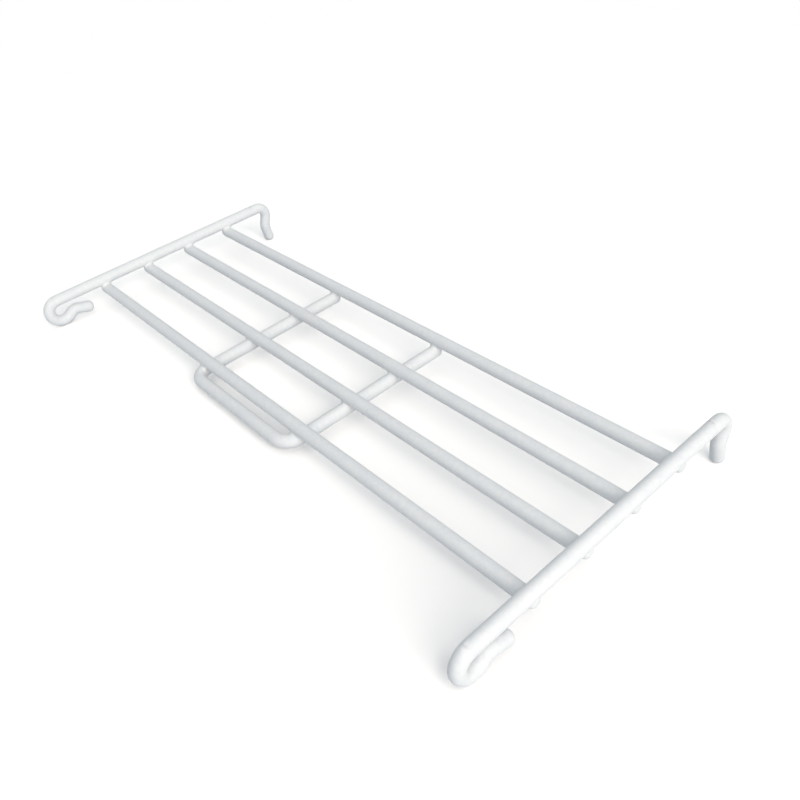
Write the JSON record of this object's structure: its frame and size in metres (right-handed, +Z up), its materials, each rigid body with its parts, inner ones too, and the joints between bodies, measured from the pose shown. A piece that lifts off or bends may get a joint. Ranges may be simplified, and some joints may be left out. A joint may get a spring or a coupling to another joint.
{
  "type": "refrigerator shelf insert",
  "caption": "White coated wire insert for a refrigerator shelf: parallel long wires welded under clipped and hooked end wires, with a U-shaped cross loop.",
  "frame": {"origin": "middle of the width and of the depth, at the height of the lowest point, the tips of the rear hooks", "axes": "+X along the long wires to the right, +Y from the front clips to the rear hooks, +Z up, with the long wires level"},
  "size_m": [0.2666, 0.1246, 0.0213],
  "materials": {
    "white_coating": "smooth semi-gloss white plastic coating on steel wire"
  },
  "bodies": {
    "root": {"left_end_wire": "white_coating", "right_end_wire": "white_coating", "long_wire_1": "white_coating", "long_wire_2": "white_coating", "long_wire_3": "white_coating", "long_wire_4": "white_coating", "centre_loop": "white_coating"}
  },
  "joints": []
}
